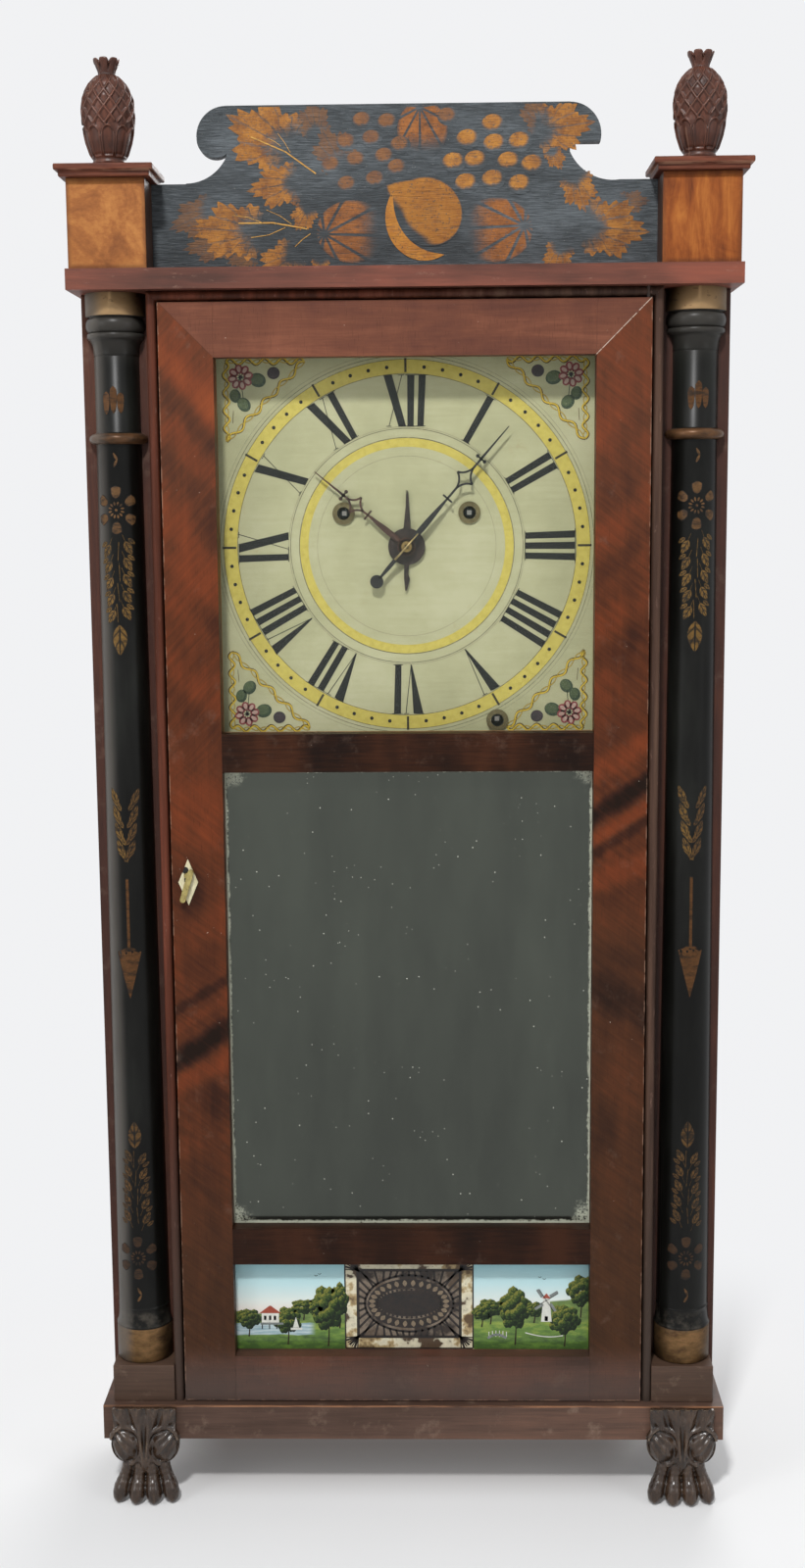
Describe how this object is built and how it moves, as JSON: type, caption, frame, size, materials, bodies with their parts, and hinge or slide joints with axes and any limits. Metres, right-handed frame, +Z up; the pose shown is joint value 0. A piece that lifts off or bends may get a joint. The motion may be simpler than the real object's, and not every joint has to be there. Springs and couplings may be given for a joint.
{
  "type": "shelf clock",
  "caption": "Tall wooden shelf clock with half columns, stencilled splat, pineapple finials, paw feet, a glazed door with mirror and painted tablet, and a weight-driven movement.",
  "frame": {"origin": "on the floor under the middle of the clock's bounding box", "axes": "+Z up, +X to the right as seen from the front, -Y out of the dial"},
  "size_m": [0.4344, 0.1319, 0.9573],
  "materials": {
    "case_wood": "varnished",
    "dark_wood": "varnished",
    "figured_veneer": "varnished",
    "pine": "raw",
    "movement_wood": "oiled",
    "black_paint": "painted black with stencilled gilding",
    "dial_paint": "painted, with gilt and black figures",
    "glass": "clear",
    "mirror": "worn silvering",
    "tablet": "painted on the back",
    "bone": "worn",
    "cord": "twisted",
    "iron": "dark",
    "steel": "dull",
    "brass": "aged",
    "hand_paint": "blued and browned"
  },
  "bodies": {
    "case": {"base_box": "case_wood", "side_boards": "case_wood", "back_board": "pine", "front_frame": "case_wood", "top_board": "case_wood", "door_bead": "dark_wood", "plinth_blocks": "dark_wood", "half_columns": "black_paint", "splat": "black_paint", "pedestals": "figured_veneer", "pedestal_caps": "dark_wood", "finials": "dark_wood", "front_feet": "dark_wood", "rear_feet": "dark_wood", "dial_board": "dial_paint", "inner_strips": "pine", "winding_grommets": "brass", "hinge_pins": "iron", "front_plate": "movement_wood", "back_plate": "movement_wood", "bell": "brass", "cord_runs": "cord", "time_cord": "cord", "strike_cord": "cord", "alarm_frame": "movement_wood", "alarm_cord": "cord"},
    "door": {"door_frame": "case_wood", "door_glass": "glass", "mirror_glass": "mirror", "tablet_glass": "tablet", "door_backing": "pine", "keyhole_plate": "bone", "door_lock": "iron"},
    "key": {"door_key": "brass"},
    "bolt": {"lock_bolt": "steel"},
    "hour": {"hour_hand": "hand_paint", "hour_wheel": "movement_wood"},
    "minute": {"minute_hand": "hand_paint", "centre_arbor": "steel"},
    "minute_wheel": {"minute_wheel": "movement_wood"},
    "alarm_disc": {"alarm_disc": "hand_paint"},
    "time_drum": {"time_drum": "movement_wood"},
    "time_great_wheel": {"time_great_wheel": "movement_wood"},
    "time_second_wheel": {"time_second_wheel": "movement_wood"},
    "time_third_wheel": {"time_third_wheel": "movement_wood"},
    "escape_wheel": {"escape_wheel": "movement_wood"},
    "verge": {"verge": "steel"},
    "pendulum": {"pendulum": "brass"},
    "strike_drum": {"strike_drum": "movement_wood"},
    "strike_great_wheel": {"strike_great_wheel": "movement_wood"},
    "strike_second_wheel": {"strike_second_wheel": "movement_wood"},
    "fly": {"fly": "movement_wood"},
    "hammer": {"hammer": "iron"},
    "time_weight": {"time_weight": "iron"},
    "strike_weight": {"strike_weight": "iron"},
    "time_pulley": {"time_pulley": "movement_wood"},
    "strike_pulley": {"strike_pulley": "movement_wood"},
    "alarm_drum": {"alarm_drum": "movement_wood"},
    "alarm_weight": {"alarm_weight": "iron"},
    "alarm_hammer": {"alarm_hammer": "iron"}
  },
  "joints": [
    {"name": "door_swing", "type": "hinge", "parent": "case", "child": "door", "pos_m": [0.1538, -0.0454, 0.44], "axis": [0, 0, 1], "range_deg": [0, 110]},
    {"name": "key_turn", "type": "hinge", "parent": "door", "child": "key", "pos_m": [-0.1464, -0.04, 0.438], "axis": [0, 1, 0], "range_deg": [0, 90]},
    {"name": "bolt_throw", "type": "slide", "parent": "door", "child": "bolt", "axis": [-1, 0, 0], "range_m": [0, 0.004]},
    {"name": "minute_turn", "type": "hinge", "parent": "case", "child": "minute", "pos_m": [0, -0.025, 0.6518], "axis": [0, 1, 0], "continuous": true},
    {"name": "hour_turn", "type": "hinge", "parent": "case", "child": "hour", "pos_m": [0, -0.023, 0.6518], "axis": [0, 1, 0], "continuous": true},
    {"name": "minute_wheel_turn", "type": "hinge", "parent": "case", "child": "minute_wheel", "pos_m": [-0.01691, -0.002, 0.64564], "axis": [0, 1, 0], "continuous": true},
    {"name": "alarm_set", "type": "hinge", "parent": "hour", "child": "alarm_disc", "pos_m": [0, -0.021, 0.6518], "axis": [0, 1, 0], "continuous": true},
    {"name": "pendulum_swing", "type": "hinge", "parent": "case", "child": "pendulum", "pos_m": [0.024, -0.006, 0.7708], "axis": [0, 1, 0], "range_deg": [-3.5, 3.5]},
    {"name": "verge_swing", "type": "hinge", "parent": "case", "child": "verge", "pos_m": [0.024, 0.013, 0.7708], "axis": [0, 1, 0], "range_deg": [-3.5, 3.5]},
    {"name": "escape_turn", "type": "hinge", "parent": "case", "child": "escape_wheel", "pos_m": [0.024, 0.02, 0.7468], "axis": [0, 1, 0], "continuous": true},
    {"name": "time_third_turn", "type": "hinge", "parent": "case", "child": "time_third_wheel", "pos_m": [0.04754, 0.032, 0.74211], "axis": [0, 1, 0], "continuous": true},
    {"name": "time_second_turn", "type": "hinge", "parent": "case", "child": "time_second_wheel", "pos_m": [0.03425, 0.014, 0.71299], "axis": [0, 1, 0], "continuous": true},
    {"name": "time_great_turn", "type": "hinge", "parent": "case", "child": "time_great_wheel", "pos_m": [0.0412, 0.041, 0.6736], "axis": [0, 1, 0], "continuous": true},
    {"name": "fly_turn", "type": "hinge", "parent": "case", "child": "fly", "pos_m": [-0.04778, 0.028, 0.74199], "axis": [0, 1, 0], "continuous": true},
    {"name": "strike_second_turn", "type": "hinge", "parent": "case", "child": "strike_second_wheel", "pos_m": [-0.03425, 0.014, 0.71299], "axis": [0, 1, 0], "continuous": true},
    {"name": "strike_great_turn", "type": "hinge", "parent": "case", "child": "strike_great_wheel", "pos_m": [-0.0412, 0.041, 0.6736], "axis": [0, 1, 0], "continuous": true},
    {"name": "time_wind", "type": "slide", "parent": "case", "child": "time_weight", "axis": [0, 0, 1], "range_m": [0, 0.5], "deforming": ["time_cord"]},
    {"name": "time_drum_turn", "type": "hinge", "parent": "case", "child": "time_drum", "pos_m": [0.0412, 0.028, 0.6736], "axis": [0, 1, 0], "range_deg": [-2210, 0]},
    {"name": "time_pulley_turn", "type": "hinge", "parent": "case", "child": "time_pulley", "pos_m": [0.15, 0.028, 0.8205], "axis": [0, 1, 0], "range_deg": [-1795, 0]},
    {"name": "strike_wind", "type": "slide", "parent": "case", "child": "strike_weight", "axis": [0, 0, 1], "range_m": [0, 0.5], "deforming": ["strike_cord"]},
    {"name": "strike_drum_turn", "type": "hinge", "parent": "case", "child": "strike_drum", "pos_m": [-0.0412, 0.028, 0.6736], "axis": [0, 1, 0], "range_deg": [0, 2210]},
    {"name": "strike_pulley_turn", "type": "hinge", "parent": "case", "child": "strike_pulley", "pos_m": [-0.15, 0.028, 0.8205], "axis": [0, 1, 0], "range_deg": [0, 1795]},
    {"name": "alarm_wind", "type": "slide", "parent": "case", "child": "alarm_weight", "axis": [0, 0, 1], "range_m": [0, 0.3], "deforming": ["alarm_cord"]},
    {"name": "alarm_drum_turn", "type": "hinge", "parent": "case", "child": "alarm_drum", "pos_m": [0.0594, 0.0395, 0.5368], "axis": [0, 1, 0], "range_deg": [-1325, 0]},
    {"name": "hammer_swing", "type": "hinge", "parent": "case", "child": "hammer", "pos_m": [-0.036, 0.028, 0.6068], "axis": [0, 1, 0], "range_deg": [0, 18]},
    {"name": "alarm_hammer_swing", "type": "hinge", "parent": "case", "child": "alarm_hammer", "pos_m": [0.0374, 0.028, 0.5698], "axis": [0, -1, 0], "range_deg": [0, 14]}
  ],
  "couplings": [
    {"joint": "bolt_throw", "follows": "key_turn", "m_per_rad": 0.00254},
    {"joint": "hour_turn", "follows": "minute_turn", "ratio": 0.083333},
    {"joint": "minute_wheel_turn", "follows": "minute_turn", "ratio": -0.33333},
    {"joint": "verge_swing", "follows": "pendulum_swing", "ratio": 1},
    {"joint": "time_third_turn", "follows": "escape_turn", "ratio": -0.2},
    {"joint": "time_second_turn", "follows": "escape_turn", "ratio": 0.028571},
    {"joint": "time_great_turn", "follows": "escape_turn", "ratio": -0.0040816},
    {"joint": "strike_second_turn", "follows": "fly_turn", "ratio": -0.14286},
    {"joint": "strike_great_turn", "follows": "fly_turn", "ratio": 0.020408},
    {"joint": "time_drum_turn", "follows": "time_wind", "rad_per_m": -76.923},
    {"joint": "time_pulley_turn", "follows": "time_wind", "rad_per_m": -62.5},
    {"joint": "strike_drum_turn", "follows": "strike_wind", "rad_per_m": 76.923},
    {"joint": "strike_pulley_turn", "follows": "strike_wind", "rad_per_m": 62.5},
    {"joint": "alarm_drum_turn", "follows": "alarm_wind", "rad_per_m": -76.923}
  ]
}
